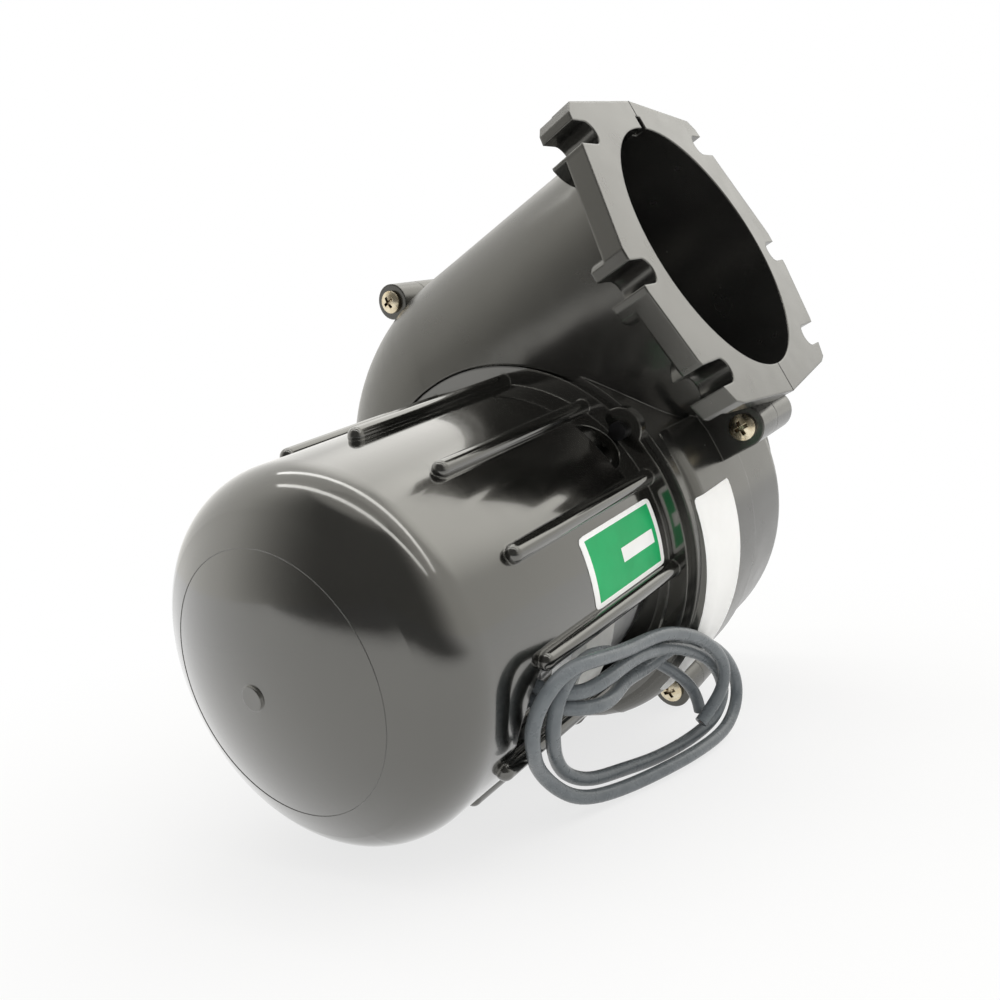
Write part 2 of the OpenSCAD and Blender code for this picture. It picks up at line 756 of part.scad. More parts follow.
module impeller() {
  color("#3b3c3f") rest_pose() difference() {
    union() {
      bar_y(wheel_r, wheel_y0, wheel_y0 + 2.5);
      bar_y(hub_r, wheel_y0, hub_y1);
      translate([0, wheel_y0 + 2, 0]) along_y() cylinder(r1 = hub_r + 12, r2 = hub_r, h = 14);
      ring_y(wheel_r, wheel_r - blade_d + 5, wheel_y1 - 2.5, wheel_y1);
      translate([0, wheel_y0 + 2, 0]) along_y() linear_extrude(wheel_len - 3)
        for (i = [0 : blade_count - 1]) rotate(i * 360 / blade_count) blade_shape();
    }
    bar_y(shaft_r + run_c, wheel_y0 - eps, hub_y1 + eps);
  }
}

module impeller_nut() {
  color("#b9bcc0") rest_pose() difference() {
    translate([0, hub_y1, 0]) along_y() cylinder(r = 7.5, h = 6, $fn = 6);
    bar_y(shaft_r + run_c, hub_y1 - eps, hub_y1 + 7);
  }
}

motor_cover();
cover_screws();
scroll_motor_half();
scroll_inlet_half();
scroll_screws();
motor_shell();
motor_front_plate();
motor_end_cap();
through_bolts();
motor_screws();
cushion_ring();
field_magnets();
front_bearing();
rear_bearing();
brush_plate();
brushes();
brush_springs();
lead_grommet();
motor_shaft();
armature_core();
armature_winding();
commutator();
shaft_slinger();
impeller();
impeller_nut();
lead_positive();
lead_negative();
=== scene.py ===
import math

import bmesh
import bpy
from mathutils import Matrix, Vector


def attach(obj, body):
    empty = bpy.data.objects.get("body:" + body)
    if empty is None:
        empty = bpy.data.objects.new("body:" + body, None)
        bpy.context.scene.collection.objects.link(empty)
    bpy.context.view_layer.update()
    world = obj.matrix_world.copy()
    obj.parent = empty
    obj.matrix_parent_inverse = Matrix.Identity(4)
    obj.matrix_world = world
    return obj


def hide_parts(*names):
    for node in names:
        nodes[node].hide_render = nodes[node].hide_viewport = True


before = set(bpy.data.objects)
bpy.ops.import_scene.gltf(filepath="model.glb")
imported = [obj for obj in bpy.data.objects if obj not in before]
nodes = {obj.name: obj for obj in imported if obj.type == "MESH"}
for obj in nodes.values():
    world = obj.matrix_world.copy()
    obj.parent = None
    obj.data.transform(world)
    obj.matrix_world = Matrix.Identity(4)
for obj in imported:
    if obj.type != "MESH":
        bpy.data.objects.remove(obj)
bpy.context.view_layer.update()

# Lying pose of the part, repeated from its source, in millimetres and degrees
MM = 0.001
ROLL = math.radians(68.6)
TIP = math.radians(9.7)
SHIFT = Vector((5.17, 42.88, 77.01))
POSE = Matrix.Rotation(TIP, 3, "X") @ Matrix.Rotation(ROLL, 3, "Y")


def laid(x, y, z):
    """A point of the working axes, in millimetres, as it lies in the row frame, in metres."""
    return (POSE @ Vector((x, y, z)) + SHIFT) * MM


def polar(r, angle, y):
    """A point at a radius and an angle in degrees about the motor's axis."""
    a = math.radians(angle)
    return laid(r * math.cos(a), y, r * math.sin(a))


# Objects and meshes
def add_object(name, data):
    made = bpy.data.objects.new(name, data)
    bpy.context.scene.collection.objects.link(made)
    return made


def add_mesh(name, bm, smooth=True, sharp=None):
    """An object from a closed mesh, with edges sharper than a limit in degrees kept sharp."""
    bmesh.ops.recalc_face_normals(bm, faces=bm.faces)
    mesh = bpy.data.meshes.new(name)
    bm.to_mesh(mesh)
    bm.free()
    for poly in mesh.polygons:
        poly.use_smooth = smooth
    if sharp is not None:
        mesh.set_sharp_from_angle(angle=math.radians(sharp))
    return add_object(name, mesh)


def add_trim(name, bm, look, smooth=True, sharp=None):
    """A thin piece of the scene alone, which rides on the housing."""
    piece = add_mesh(name, bm, smooth, sharp)
    piece.data.materials.append(look)
    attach(piece, "housing")


def bridge(bm, a, b):
    """Faces between two closed loops with as many vertices."""
    for k in range(len(a)):
        n = (k + 1) % len(a)
        bm.faces.new([a[k], a[n], b[n], b[k]])


# Camera, worked out from the photograph, with its place in millimetres
LENS = 32.4
SENSOR = 36
CAMERA_RIGHT = Vector((0.80996, 0.57681, -0.10608))
CAMERA_UP = Vector((0.05804, 0.10115, 0.99318))
CAMERA_BACK = Vector((0.58360, -0.81059, 0.04845))
CAMERA_PLACE = Vector((184.516, -261.978, 100.699))


def make_camera():
    data = bpy.data.cameras.new("photo_camera")
    data.sensor_width = SENSOR
    data.sensor_fit = "HORIZONTAL"
    data.lens = LENS
    data.clip_start = 0.01
    data.clip_end = 20
    cam = add_object("photo_camera", data)
    turned = Matrix((CAMERA_RIGHT, CAMERA_UP, CAMERA_BACK)).transposed().to_4x4()
    turned.translation = CAMERA_PLACE * MM
    cam.matrix_world = turned
    bpy.context.scene.camera = cam


make_camera()

# Leads: the routes of the part's source, in millimetres
LEAD_D = 4.0
GROMMET_R = 49.6
LEAD_ANGLE = 48.0
LEAD_Y = -121.0
LEAD_SIDE = 2.35
LEAD_STARTS = (0.05, 4)
WAY_STEPS = 6
EVEN_PASSES = 10
TUBE_SIDES = 16
TUBE_SHARP = 50
# the conductor's radius and its step behind the jacket's cut, as shares of the lead's radius
CONDUCTOR = 0.55
CONDUCTOR_SUNK = 0.2
ROUTES = {
    "lead_positive": (LEAD_SIDE, [
        (61.5, -71.5, 39), (65, -67, 38.5), (67, -58, 40), (66, -42, 41), (66, -27, 40), (66, -13, 37),
        (67, 2, 31), (67, 12, 24), (66, 18, 16), (64, 17, 9), (62, 11, 5), (59, -3, 3), (56, -19, 3),
        (54, -34, 5), (52, -49, 7), (51, -59, 12), (53, -66, 18), (57, -73, 25), (61, -78, 33),
        (63, -77, 40), (64, -70, 45), (63, -58, 46), (62, -45, 43), (59, -32, 39), (56, -21, 36),
        (55, -10, 32), (57, -2, 27), (59, 4, 22), (60, 9, 16), (60, 11, 10)]),
    "lead_negative": (-LEAD_SIDE, [
        (58.5, -71.5, 35), (63, -67.5, 34), (66, -58, 33), (62, -42, 34), (60, -27, 33), (60, -14, 34),
        (62, -5, 36), (66, 4, 35), (67, 14, 30), (67, 22, 24), (67, 27, 17), (67, 26, 10), (67, 19, 5),
        (67, 8, 3), (66, -10, 3), (63, -26, 3), (59, -41, 3), (55, -57, 5), (53, -67, 11), (53, -75, 19),
        (57, -82, 26), (60, -86, 34), (64, -85, 42), (67, -78, 47), (69, -67, 47), (69, -56, 46),
        (68, -43, 45), (69, -28, 45), (71, -13, 41), (72, -2, 35), (72, 6, 28), (70, 9, 20), (67, 7, 14),
        (64, 2, 9)]),
}


def lead_points(side, way):
    """A lead's points in metres: two straight out of the grommet, then its route."""
    a = math.radians(LEAD_ANGLE)
    start = []
    for out in LEAD_STARTS:
        r = GROMMET_R + out
        x = r * math.cos(a) - side * math.sin(a)
        z = r * math.sin(a) + side * math.cos(a)
        start.append(laid(x, LEAD_Y, z))
    return start + [Vector(p) * MM for p in way]


def smooth_way(points):
    """A round curve through the points, after a straight start, with its small waves evened out."""
    ends = points + [points[-1]]
    line = [points[0].copy()]
    for p0, p1, p2, p3 in zip(ends, ends[1:], ends[2:], ends[3:]):
        for k in range(WAY_STEPS):
            t = k / WAY_STEPS
            line.append(0.5 * (2 * p1 + (p2 - p0) * t + (2 * p0 - 5 * p1 + 4 * p2 - p3) * t * t
                               + (3 * p1 - p0 - 3 * p2 + p3) * t * t * t))
    line.append(points[-1].copy())
    for _ in range(EVEN_PASSES):
        evened = [(a + 2 * b + c) / 4 for a, b, c in zip(line[1:], line[2:], line[3:])]
        line = line[:2] + evened + line[-1:]
    return line


def tube(name, line, radius):
    """A round tube along a line, closed at its start, with the bare conductor showing at its cut end."""
    bm = bmesh.new()
    last = len(line) - 1
    ahead = [(line[min(i + 1, last)] - line[max(i - 1, 0)]).normalized() for i in range(len(line))]
    across = ahead[0].orthogonal().normalized()
    stations = []
    for centre, forward in zip(line, ahead):
        across = (across - forward * across.dot(forward)).normalized()
        stations.append((centre, forward, across.copy(), forward.cross(across)))

    def ring(station, r, shift=0.0):
        centre, forward, u, v = station
        verts = []
        for k in range(TUBE_SIDES):
            t = math.tau * k / TUBE_SIDES
            place = centre + forward * shift + r * (math.cos(t) * u + math.sin(t) * v)
            verts.append(bm.verts.new(place))
        return verts

    loops = [ring(station, radius) for station in stations]
    # the jacket's cut face, the step down to the conductor and the conductor's own face
    loops.append(ring(stations[-1], radius * CONDUCTOR))
    loops.append(ring(stations[-1], radius * CONDUCTOR, -radius * CONDUCTOR_SUNK))
    for a, b in zip(loops, loops[1:]):
        bridge(bm, a, b)
    bm.faces.new(list(reversed(loops[0])))
    bm.faces.new(loops[-1]).material_index = 1
    return add_mesh(name, bm, sharp=TUBE_SHARP)


leads = []
for lead_name, (lead_side, lead_way) in ROUTES.items():
    lead_line = smooth_way(lead_points(lead_side, lead_way))
    lead = tube(lead_name + "_jacket", lead_line, LEAD_D / 2 * MM)
    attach(lead, "housing")
    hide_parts(lead_name)
    leads.append(lead)


# Shader nodes
# the part of a noise's range that holds nearly all of its values
NOISE_LOW = 0.3
NOISE_HIGH = 0.7
# the fine relief's noise detail, and its depth in metres on plastic and on all else
GRAIN_DETAIL = 2
PLASTIC_DEPTH = 0.0004
FINE_DEPTH = 0.0002


def new_material(name):
    mat = bpy.data.materials.new(name)
    mat.use_nodes = True
    tree = mat.node_tree
    return mat, tree, tree.nodes["Principled BSDF"]


def feed(tree, socket, value):
    """Links another node's output to a socket, or sets a constant on it."""
    if isinstance(value, bpy.types.NodeSocket):
        tree.links.new(value, socket)
    else:
        socket.default_value = value


def noise(tree, scale, detail):
    n = tree.nodes.new("ShaderNodeTexNoise")
    feed(tree, n.inputs["Scale"], scale)
    feed(tree, n.inputs["Detail"], detail)
    feed(tree, n.inputs["Roughness"], 0.55)
    feed(tree, n.inputs["Vector"], tree.nodes.new("ShaderNodeTexCoord").outputs["Object"])
    return n.outputs["Fac"]


def ramp(tree, fac, stops):
    n = tree.nodes.new("ShaderNodeValToRGB")
    for element, (position, colour) in zip(n.color_ramp.elements, stops):
        element.position = position
        element.color = (*colour, 1)
    feed(tree, n.inputs["Fac"], fac)
    return n.outputs["Color"]


def clouded(tree, scale, detail, dark, pale):
    """A colour that drifts between two shades."""
    return ramp(tree, noise(tree, scale, detail), [(NOISE_LOW, dark), (NOISE_HIGH, pale)])


def map_range(tree, value, source, target, kind):
    n = tree.nodes.new("ShaderNodeMapRange")
    n.interpolation_type = kind
    for socket_name, number in zip(("From Min", "From Max", "To Min", "To Max"), (*source, *target)):
        feed(tree, n.inputs[socket_name], number)
    feed(tree, n.inputs["Value"], value)
    return n.outputs["Result"]


def spread(tree, fac, target):
    """A noise drawn out to a range of values."""
    return map_range(tree, fac, (NOISE_LOW, NOISE_HIGH), target, "LINEAR")


def eased(tree, value, source, target):
    """A smooth step from one range to another."""
    return map_range(tree, value, source, target, "SMOOTHSTEP")


def math_node(tree, operation, a, b):
    n = tree.nodes.new("ShaderNodeMath")
    n.operation = operation
    feed(tree, n.inputs[0], a)
    feed(tree, n.inputs[1], b)
    return n.outputs[0]


def vector_node(tree, operation, *vectors):
    n = tree.nodes.new("ShaderNodeVectorMath")
    n.operation = operation
    for socket, vector in zip(n.inputs, vectors):
        feed(tree, socket, vector)
    return n.outputs["Value"] if operation in ("DOT_PRODUCT", "LENGTH") else n.outputs["Vector"]


def paint(tree, mask, under, over):
    """One colour over another where a mask is 1. Each colour is a socket or a constant."""
    n = tree.nodes.new("ShaderNodeMix")
    n.data_type = "RGBA"
    feed(tree, n.inputs["Factor"], mask)
    feed(tree, n.inputs["A"], under)
    feed(tree, n.inputs["B"], over)
    return n.outputs["Result"]


def soft_edge(tree, radius):
    """The normal of edges that are rounded by a radius in millimetres."""
    n = tree.nodes.new("ShaderNodeBevel")
    n.samples = 8
    feed(tree, n.inputs["Radius"], radius * MM)
    return n.outputs["Normal"]


def edge_sheen_wear_and_dust(tree, edge):
    """1 along edges, where a painted highlight stands with some rubbed wear, and on specks of dust, broken
    up by a noise, and 0 elsewhere.
    """
    facing = tree.nodes.new("ShaderNodeNewGeometry").outputs["Normal"]
    # painted highlight with some wear: where the softened edge normal turns from the face's normal, on
    # convex and concave edges alike
    edge_sheen_and_wear = eased(tree, vector_node(tree, "DOT_PRODUCT", edge, facing), (0.8, 0.985), (0.8, 0.0))
    edge_sheen_and_wear = math_node(tree, "MULTIPLY", edge_sheen_and_wear, spread(tree, noise(tree, 260, 4), (0.1, 1.0)))
    dust = eased(tree, noise(tree, 1400, 1), (0.74, 0.78), (0.0, 0.5))
    return math_node(tree, "MAXIMUM", edge_sheen_and_wear, dust)


def surface(tree, bsdf, colour, cloud, rough, grain, depth=FINE_DEPTH, edge=None):
    """Gives a shader its colour, an uneven roughness and a fine relief, over softened edges where given."""
    feed(tree, bsdf.inputs["Base Color"], colour)
    feed(tree, bsdf.inputs["Roughness"], spread(tree, noise(tree, *cloud), rough))
    strength, scale = grain
    n = tree.nodes.new("ShaderNodeBump")
    feed(tree, n.inputs["Strength"], strength)
    feed(tree, n.inputs["Distance"], depth)
    feed(tree, n.inputs["Height"], noise(tree, scale, GRAIN_DETAIL))
    if edge is not None:
        feed(tree, n.inputs["Normal"], edge)
    feed(tree, bsdf.inputs["Normal"], n.outputs["Normal"])


# Materials
def moulded(name, dark, pale, rough, grain, ior=1.5, coat=0.0, gloss=(1, 1, 1), radius=0.0, sheen_and_wear=None):
    """Moulded plastic with a faint cloud in its colour, an uneven gloss, a fine grain and, where given, a
    paler colour along the edges (a painted highlight with some rubbed wear) and on specks of dust.
    """
    mat, tree, bsdf = new_material(name)
    colour = clouded(tree, 30, 4, dark, pale)
    edge = soft_edge(tree, radius) if radius else None
    # painted highlight with some wear and dust: the paler colour along the edges and on specks
    if sheen_and_wear:
        colour = paint(tree, edge_sheen_wear_and_dust(tree, edge), colour, (*sheen_and_wear, 1))
    feed(tree, bsdf.inputs["IOR"], ior)
    feed(tree, bsdf.inputs["Coat Weight"], coat)
    feed(tree, bsdf.inputs["Coat Roughness"], 0.06)
    feed(tree, bsdf.inputs["Specular Tint"], (*gloss, 1))
    surface(tree, bsdf, colour, (90, 5), rough, grain, PLASTIC_DEPTH, edge)
    return mat


def metal(name, dark, pale, rough, grain):
    """Plated, cast or machined metal with a clouded colour, an uneven gloss and a fine grain."""
    mat, tree, bsdf = new_material(name)
    feed(tree, bsdf.inputs["Metallic"], 1.0)
    surface(tree, bsdf, clouded(tree, 120, 4, dark, pale), (400, 4), rough, (grain, 900))
    return mat


def zinc_film(name, dark, pale, rough):
    """Bright zinc plating with its pale, half matt film."""
    mat, tree, bsdf = new_material(name)
    feed(tree, bsdf.inputs["Metallic"], 0.25)
    surface(tree, bsdf, clouded(tree, 150, 5, dark, pale), (350, 4), rough, (0.05, 900))
    return mat


def plated_screw(name, dark, pale, recess_shade):
    """Yellow zinc plate, bright on the head, with painted shade darkening the recess to a dark brown."""
    mat, tree, bsdf = new_material(name)
    feed(tree, bsdf.inputs["Metallic"], 1.0)
    plate = clouded(tree, 500, 4, dark, pale)
    # painted shade: ambient occlusion darkens the recess towards a dark brown
    hollow = tree.nodes.new("ShaderNodeAmbientOcclusion")
    hollow.samples = 8
    feed(tree, hollow.inputs["Distance"], 1.5 * MM)
    unshaded = ramp(tree, hollow.outputs["AO"], [(0.45, (0, 0, 0)), (0.85, (1, 1, 1))])
    colour = paint(tree, unshaded, (*recess_shade, 1), plate)
    surface(tree, bsdf, colour, (900, 4), (0.18, 0.36), (0.15, 1200), edge=soft_edge(tree, 0.3))
    return mat


def soft_rubber(name, dark, pale, rough):
    """Rubber, foam or a lead's jacket, with a faint cloud in its colour and a matt grain."""
    mat, tree, bsdf = new_material(name)
    colour = clouded(tree, 200, 4, dark, pale)
    surface(tree, bsdf, colour, (300, 3), (rough - 0.06, rough + 0.06), (0.25, 1500))
    return mat


# the gloss of both plastics is a little warm
WARM = (1.0, 0.98, 0.9)
EDGE_SOFT = 0.9
# the last colour of both plastics is the paler painted highlight along the edges, with some wear and dust
cover_black = moulded("cover_black", (0.004, 0.004, 0.0035), (0.009, 0.009, 0.008), (0.1, 0.17),
                      (0.02, 500), ior=2.05, coat=1.0, gloss=WARM, radius=EDGE_SOFT,
                      sheen_and_wear=(0.05, 0.05, 0.046))
scroll_grey = moulded("scroll_grey", (0.009, 0.009, 0.0085), (0.015, 0.015, 0.014), (0.2, 0.28),
                      (0.03, 900), ior=2.0, gloss=WARM, radius=EDGE_SOFT, sheen_and_wear=(0.08, 0.08, 0.074))
phenolic = moulded("phenolic", (0.12, 0.05, 0.02), (0.18, 0.08, 0.03), (0.45, 0.6), (0.1, 800))
carbon = moulded("carbon", (0.012, 0.012, 0.013), (0.025, 0.025, 0.026), (0.4, 0.55), (0.2, 1200))
# the last colour is the dark brown painted shade in the screws' recesses
yellow_zinc = plated_screw("yellow_zinc", (0.7, 0.58, 0.38), (0.88, 0.8, 0.62), (0.09, 0.055, 0.025))
white_zinc = zinc_film("white_zinc", (0.82, 0.83, 0.84), (0.92, 0.93, 0.93), (0.3, 0.42))
dark_steel = metal("dark_steel", (0.06, 0.06, 0.065), (0.1, 0.1, 0.105), (0.35, 0.5), 0.1)
bright_steel = metal("bright_steel", (0.66, 0.67, 0.68), (0.78, 0.79, 0.8), (0.2, 0.32), 0.08)
cast_aluminium = metal("cast_aluminium", (0.5, 0.51, 0.52), (0.66, 0.67, 0.68), (0.4, 0.55), 0.3)
copper = metal("copper", (0.5, 0.2, 0.09), (0.66, 0.3, 0.15), (0.25, 0.4), 0.1)
ferrite = metal("ferrite", (0.06, 0.06, 0.065), (0.1, 0.1, 0.105), (0.5, 0.65), 0.3)
# the near-black rubber also colours the painted shade strips of the flange's seam
black_rubber_and_seam_shade = soft_rubber("black_rubber_and_seam_shade", (0.008, 0.008, 0.008), (0.016, 0.016, 0.016), 0.6)
pale_foam = soft_rubber("pale_foam", (0.76, 0.76, 0.74), (0.86, 0.86, 0.84), 0.75)
lead_grey = soft_rubber("lead_grey", (0.108, 0.122, 0.132), (0.145, 0.16, 0.17), 0.29)

NODE_LOOKS = {
    "motor_cover": cover_black, "motor_end_cap": cover_black, "scroll_motor_half": scroll_grey,
    "scroll_inlet_half": scroll_grey, "impeller": scroll_grey, "scroll_screws": yellow_zinc,
    "cover_screws": dark_steel, "motor_shell": white_zinc, "motor_front_plate": cast_aluminium,
    "through_bolts": bright_steel, "motor_screws": bright_steel, "cushion_ring": pale_foam,
    "lead_grommet": black_rubber_and_seam_shade, "shaft_slinger": black_rubber_and_seam_shade, "field_magnets": ferrite,
    "front_bearing": bright_steel, "rear_bearing": bright_steel, "brush_plate": phenolic,
    "brushes": carbon, "brush_springs": copper, "motor_shaft": bright_steel, "armature_core": dark_steel,
    "armature_winding": copper, "commutator": copper, "impeller_nut": bright_steel,
    "lead_positive": lead_grey, "lead_negative": lead_grey,
}
for node_name, look in NODE_LOOKS.items():
    node_mesh = nodes[node_name].data
    node_mesh.materials.clear()
    node_mesh.materials.append(look)
for lead in leads:
    lead.data.materials.append(lead_grey)
    lead.data.materials.append(copper)


# Even shading of the scroll's small facets, apart from edges sharper than a limit in degrees
SCROLL_SHARP = 28


def even_shading(limit):
    tree = bpy.data.node_groups.new("even_shading", "GeometryNodeTree")
    tree.interface.new_socket("Geometry", in_out="INPUT", socket_type="NodeSocketGeometry")
    tree.interface.new_socket("Geometry", in_out="OUTPUT", socket_type="NodeSocketGeometry")
    source = tree.nodes.new("NodeGroupInput")
    target = tree.nodes.new("NodeGroupOutput")
    plain = tree.nodes.new("GeometryNodeRemoveAttribute")
    plain.inputs["Name"].default_value = "custom_normal"
    faces = tree.nodes.new("GeometryNodeSetShadeSmooth")
    faces.domain = "FACE"
    edges = tree.nodes.new("GeometryNodeSetShadeSmooth")
    edges.domain = "EDGE"
    angle = tree.nodes.new("GeometryNodeInputMeshEdgeAngle").outputs["Unsigned Angle"]
    flat = math_node(tree, "LESS_THAN", angle, math.radians(limit))
    feed(tree, edges.inputs["Shade Smooth"], flat)
    feed(tree, plain.inputs["Geometry"], source.outputs[0])
    feed(tree, faces.inputs["Geometry"], plain.outputs["Geometry"])
    feed(tree, edges.inputs["Geometry"], faces.outputs["Geometry"])
    feed(tree, target.inputs[0], edges.outputs["Geometry"])
    return tree


scroll_shading = even_shading(SCROLL_SHARP)
for half in ("scroll_motor_half", "scroll_inlet_half"):
    shade = nodes[half].modifiers.new("even_shading", "NODES")
    shade.node_group = scroll_shading
    weigh = nodes[half].modifiers.new("even_normals", "WEIGHTED_NORMAL")
    weigh.keep_sharp = True


# Bare labels, thin sheets on the surfaces that carry them, in millimetres as in the part's source
COVER_R = 53.5
RIM_Y = -142.76
SIDE_SLOPE = 3.5 / 93.26
SCROLL_R = 69.0
SCROLL_DEPTH = 45.0
EDGE_R = 9.0
START_X = 1.5
START_Z = -2.1
LABEL_GAP = 0.02
LABEL_T = 0.16
LABEL_CELLS = 28
LABEL_SHARP = 40
CORNER_PULL = 0.29


def cover_surface(angle, y, lift):
    return polar(COVER_R + (y - RIM_Y) * SIDE_SLOPE + lift, angle, y)


def scroll_surface(angle, y, lift):
    r = SCROLL_R + lift
    turn = -(SCROLL_DEPTH - EDGE_R) - y
    if turn > 0:
        r -= EDGE_R - math.sqrt(max(EDGE_R ** 2 - turn ** 2, 0))
    a = math.radians(angle)
    return laid(START_X + r * math.cos(a), y, START_Z + r * math.sin(a))


def label(name, carrier, angles, stations, look, corner):
    """A thin sheet over a curved carrier, with rounded corners and a flat layout for its print."""
    bm = bmesh.new()
    layout = bm.loops.layers.uv.new("layout")

    def point(i, j, lift):
        u, v = i / LABEL_CELLS, j / LABEL_CELLS
        edge_u, edge_v = min(u, 1 - u), min(v, 1 - v)
        # the outline's corners are drawn in a little
        if edge_u < corner and edge_v < corner:
            pull = CORNER_PULL * (1 - edge_u / corner) * (1 - edge_v / corner) * corner
            u += pull if u < 0.5 else -pull
            v += pull if v < 0.5 else -pull
        angle = angles[0] + (angles[1] - angles[0]) * v
        y = stations[0] + (stations[1] - stations[0]) * u
        return bm.verts.new(carrier(angle, y, lift)), u, v

    def face(corners):
        made = bm.faces.new([c[0] for c in corners])
        for loop, c in zip(made.loops, corners):
            loop[layout].uv = (c[1], c[2])

    cells = range(LABEL_CELLS)
    lines = range(LABEL_CELLS + 1)
    low, high = [[[point(i, j, lift) for i in lines] for j in lines] for lift in (LABEL_GAP, LABEL_T)]
    for j in cells:
        for i in cells:
            face([high[j][i], high[j][i + 1], high[j + 1][i + 1], high[j + 1][i]])
            face([low[j + 1][i], low[j + 1][i + 1], low[j][i + 1], low[j][i]])
    rim = [(0, i) for i in cells] + [(j, LABEL_CELLS) for j in cells]
    rim += [(LABEL_CELLS, LABEL_CELLS - i) for i in cells] + [(LABEL_CELLS - j, 0) for j in cells]
    for (j, i), (next_j, next_i) in zip(rim, rim[1:] + rim[:1]):
        face([low[j][i], low[next_j][next_i], high[next_j][next_i], high[j][i]])
    add_trim(name, bm, look, sharp=LABEL_SHARP)


def inside(tree, u0, u1, v0, v1):
    """1 inside a rectangle of a label's layout, and 0 outside it."""
    uv = tree.nodes.new("ShaderNodeUVMap")
    uv.uv_map = "layout"
    parts = tree.nodes.new("ShaderNodeSeparateXYZ")
    feed(tree, parts.inputs[0], uv.outputs["UV"])
    found = 1.0
    for along, low, high in ((parts.outputs[0], u0, u1), (parts.outputs[1], v0, v1)):
        found = math_node(tree, "MULTIPLY", found, math_node(tree, "GREATER_THAN", along, low))
        found = math_node(tree, "MULTIPLY", found, math_node(tree, "LESS_THAN", along, high))
    return found


def printed(name, panels):
    """Glossy label stock: a white ground with plain printed panels."""
    mat, tree, bsdf = new_material(name)
    colour = clouded(tree, 60, 3, (0.9, 0.9, 0.89), (0.95, 0.95, 0.94))
    for place, dark, pale in panels:
        colour = paint(tree, inside(tree, *place), colour, clouded(tree, 80, 4, dark, pale))
    feed(tree, bsdf.inputs["IOR"], 1.4)
    surface(tree, bsdf, colour, (200, 3), (0.32, 0.42), (0.03, 500))
    return mat


GREEN = ((0.002, 0.35, 0.105), (0.004, 0.42, 0.13))
PAPER = ((0.88, 0.88, 0.87), (0.94, 0.94, 0.93))
green_print = printed("green_print", [
    ((0.06, 0.95, 0.07, 0.93), *GREEN),
    ((0.44, 0.9, 0.42, 0.62), *PAPER),
])
white_print = printed("white_print", [])
label("cover_label", cover_surface, (84.5, 62.8), (-95, -53), green_print, 0.06)
label("scroll_label", scroll_surface, (80, 17), (-41.5, -16), white_print, 0.03)


# The mould's witness ring, a fine raised line on the dome
CROWN_R = 91.6
CROWN_Y = -77.7
RING_R = 36.0
RING_WIDTH = 0.13
RING_TURNS = 160
RING_SIDES = 6


def witness_ring():
    y = CROWN_Y - math.sqrt(CROWN_R ** 2 - RING_R ** 2)
    bm = bmesh.new()
    loops = []
    for i in range(RING_TURNS):
        loop = []
        for k in range(RING_SIDES):
            t = math.tau * k / RING_SIDES
            out, up = RING_WIDTH * math.cos(t), RING_WIDTH * math.sin(t)
            loop.append(bm.verts.new(polar(RING_R + out, 360 * i / RING_TURNS, y + up)))
        loops.append(loop)
    for a, b in zip(loops, loops[1:] + loops[:1]):
        bridge(bm, b, a)
    add_trim("witness_ring", bm, cover_black)


witness_ring()


# Painted shade in the seam's gap: a dark line across the two ends of the outlet flange
NECK_OFF = 56.7
OUTLET_R = 45.0
OUTLET_H = 94.0
FLANGE_X = 55.5
FLANGE_T = 7.0
KEY_X = 4.5
SEAM_LIFT = 0.03
SEAM_SUNK = 0.25
SEAM_HALF = 0.17


def seam_shade_strip(name, inner, outer):
    """A thin dark strip of painted shade over the flange's face and down its edge."""
    way = 1 if outer > inner else -1
    proud, deep = outer + way * SEAM_LIFT, outer - way * SEAM_SUNK
    top, under, foot = OUTLET_H + SEAM_LIFT, OUTLET_H - SEAM_SUNK, OUTLET_H - FLANGE_T
    profile = [(inner, under), (inner, top), (proud, top), (proud, foot), (deep, foot), (deep, under)]
    bm = bmesh.new()
    sides = [[bm.verts.new(laid(x, y, z)) for x, z in profile] for y in (-SEAM_HALF, SEAM_HALF)]
    bridge(bm, *sides)
    bm.faces.new(list(reversed(sides[0])))
    bm.faces.new(sides[1])
    # painted shade: the strip takes the near-black rubber colour where the seam's gap is in shade
    add_trim(name, bm, black_rubber_and_seam_shade, smooth=False)


seam_shade_strip("seam_key_end", -NECK_OFF - OUTLET_R - KEY_X, -NECK_OFF - FLANGE_X)
seam_shade_strip("seam_screw_end", -NECK_OFF + OUTLET_R, -NECK_OFF + FLANGE_X)


# Stage and light, in metres
WHITE = (1, 1, 1, 1)
ROOM_TINT = (1.0, 0.988, 0.95, 1)
UP = (0, 0, 1)
# where the photographer stands, and how much of the room's light is left there
PHOTOGRAPHER = (0.342, -0.94, 0)
ROOM_DIM = 0.15
FLOOR_HALF = 6.0
FLOOR_DROP = 0.0002
FLOOR_GREY = (0.85, 0.85, 0.85, 1)
# the white table ends under the photographer, and its gloss shows the dim room past that edge
TABLE_END = (0.77, -0.63, 0)
TABLE_FADE = (0.24, 0.42)
# near the object the floor keeps its shadow, and further out it fades into the white background
SHADOW_FADE = (0.1, 0.36)
SHADOW_SHARE = (0.74, 1.0)
CEILING_FADE = (0.8, 0.92)
CEILING_LEVEL = 0.75
# soft windows behind the object: azimuth, elevation, inner and outer angle in degrees, and strength
WINDOWS = ((68, 40, 10, 30, 1.0), (114, 48, 8, 28, 0.75), (72, 5, 6, 22, 0.3))
TUBE_LENGTH = 2.4
TUBE_WIDTH = 0.09
TUBE_POWER = 2.2
TUBE_TURN = 5
FILL_SIZE = 0.3
FILL_POWER = 2.3
FILL_AIM = (0.06, -0.04, 0.06)


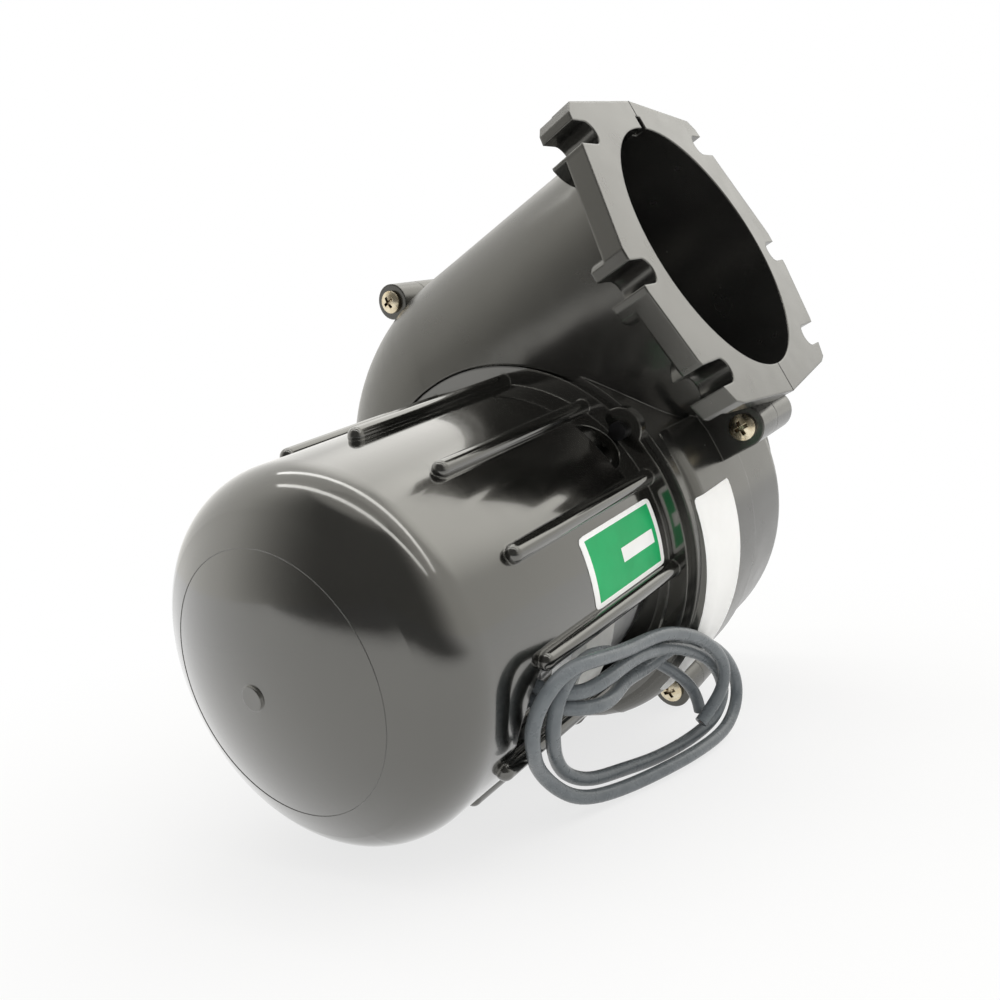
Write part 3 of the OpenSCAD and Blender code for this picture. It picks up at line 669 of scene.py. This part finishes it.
def room_level(tree, vector):
    """How bright the room is in a direction: white all round, and dim where the photographer stands."""
    flat = vector_node(tree, "NORMALIZE", vector_node(tree, "MULTIPLY", vector, (1, 1, 0)))
    front = vector_node(tree, "DOT_PRODUCT", flat, PHOTOGRAPHER)
    return eased(tree, front, (0.1, 0.85), (1.0, ROOM_DIM))


def direct_view(tree, path):
    return math_node(tree, "MAXIMUM", path.outputs["Is Camera Ray"], path.outputs["Is Transmission Ray"])


def mix_shaders(tree, share, first, second, output):
    n = tree.nodes.new("ShaderNodeMixShader")
    for socket, value in zip(n.inputs, (share, first.outputs[0], second.outputs[0])):
        feed(tree, socket, value)
    feed(tree, tree.nodes[output].inputs["Surface"], n.outputs[0])


def make_floor():
    bm = bmesh.new()
    bmesh.ops.create_grid(bm, x_segments=1, y_segments=1, size=FLOOR_HALF)
    mesh = bpy.data.meshes.new("floor")
    bm.to_mesh(mesh)
    bm.free()
    floor = add_object("floor", mesh)
    floor.location = (0, 0, -FLOOR_DROP)
    mat, tree, bsdf = new_material("pale_floor")
    feed(tree, bsdf.inputs["Base Color"], FLOOR_GREY)
    feed(tree, bsdf.inputs["Roughness"], 0.8)
    feed(tree, bsdf.inputs["Specular IOR Level"], 0.1)
    place = tree.nodes.new("ShaderNodeNewGeometry").outputs["Position"]
    path = tree.nodes.new("ShaderNodeLightPath")
    direct = direct_view(tree, path)
    past = eased(tree, vector_node(tree, "DOT_PRODUCT", place, TABLE_END), TABLE_FADE, (0.0, 1.0))
    dimmer = math_node(tree, "SUBTRACT", 1.0, room_level(tree, place))
    table = math_node(tree, "SUBTRACT", 1.0, math_node(tree, "MULTIPLY", past, dimmer))
    glow = tree.nodes.new("ShaderNodeEmission")
    feed(tree, glow.inputs["Color"], WHITE)
    feed(tree, glow.inputs["Strength"], math_node(tree, "MAXIMUM", direct, table))
    fade = eased(tree, vector_node(tree, "LENGTH", place), SHADOW_FADE, SHADOW_SHARE)
    shown = math_node(tree, "MAXIMUM", direct, path.outputs["Is Glossy Ray"])
    mix_shaders(tree, math_node(tree, "MULTIPLY", shown, fade), bsdf, glow, "Material Output")
    mesh.materials.append(mat)


def toward(azimuth, elevation):
    a, e = math.radians(azimuth), math.radians(elevation)
    return Vector((math.cos(e) * math.cos(a), math.cos(e) * math.sin(a), math.sin(e)))


def make_world():
    world = bpy.data.worlds.new("studio")
    bpy.context.scene.world = world
    world.use_nodes = True
    tree = world.node_tree
    room = tree.nodes["Background"]
    path = tree.nodes.new("ShaderNodeLightPath")
    sky = tree.nodes.new("ShaderNodeTexCoord").outputs["Generated"]
    ceiling = eased(tree, vector_node(tree, "DOT_PRODUCT", sky, UP), CEILING_FADE, (0.0, CEILING_LEVEL))
    level = math_node(tree, "MAXIMUM", room_level(tree, sky), ceiling)
    for azimuth, elevation, inner, outer, strength in WINDOWS:
        near = vector_node(tree, "DOT_PRODUCT", sky, toward(azimuth, elevation))
        limits = (math.cos(math.radians(outer)), math.cos(math.radians(inner)))
        level = math_node(tree, "ADD", level, eased(tree, near, limits, (0.0, strength)))
    feed(tree, room.inputs["Color"], ROOM_TINT)
    feed(tree, room.inputs["Strength"], level)
    # the camera sees plain white
    plain = tree.nodes.new("ShaderNodeBackground")
    feed(tree, plain.inputs["Color"], WHITE)
    mix_shaders(tree, direct_view(tree, path), room, plain, "World Output")


def add_lamp(name, shape, size, power, place):
    data = bpy.data.lights.new(name, "AREA")
    data.shape = shape
    data.size = size
    data.energy = power
    lamp = add_object(name, data)
    lamp.location = place
    return lamp


def ceiling_tube(name, place):
    """A ceiling tube, seen as a thin bright line along the cover's rounded edge."""
    lamp = add_lamp(name, "RECTANGLE", TUBE_LENGTH, TUBE_POWER, place)
    lamp.data.size_y = TUBE_WIDTH
    lamp.rotation_euler = (0, 0, math.radians(TUBE_TURN))


def soft_fill(name, place):
    """A soft fill for matt surfaces, with no mirror image in the gloss."""
    lamp = add_lamp(name, "SQUARE", FILL_SIZE, FILL_POWER, place)
    lamp.rotation_euler = (Vector(FILL_AIM) - Vector(place)).to_track_quat("-Z", "Y").to_euler()
    lamp.visible_camera = False
    lamp.visible_glossy = False


make_floor()
make_world()
soft_fill("front_fill", (0.46, -0.7, 0.2))
ceiling_tube("front_tube", (0.45, -0.33, 1.1))
ceiling_tube("rear_tube", (0.35, 0.13, 1.1))

view = bpy.context.scene.view_settings
view.view_transform = "Standard"

bpy.context.view_layer.update()
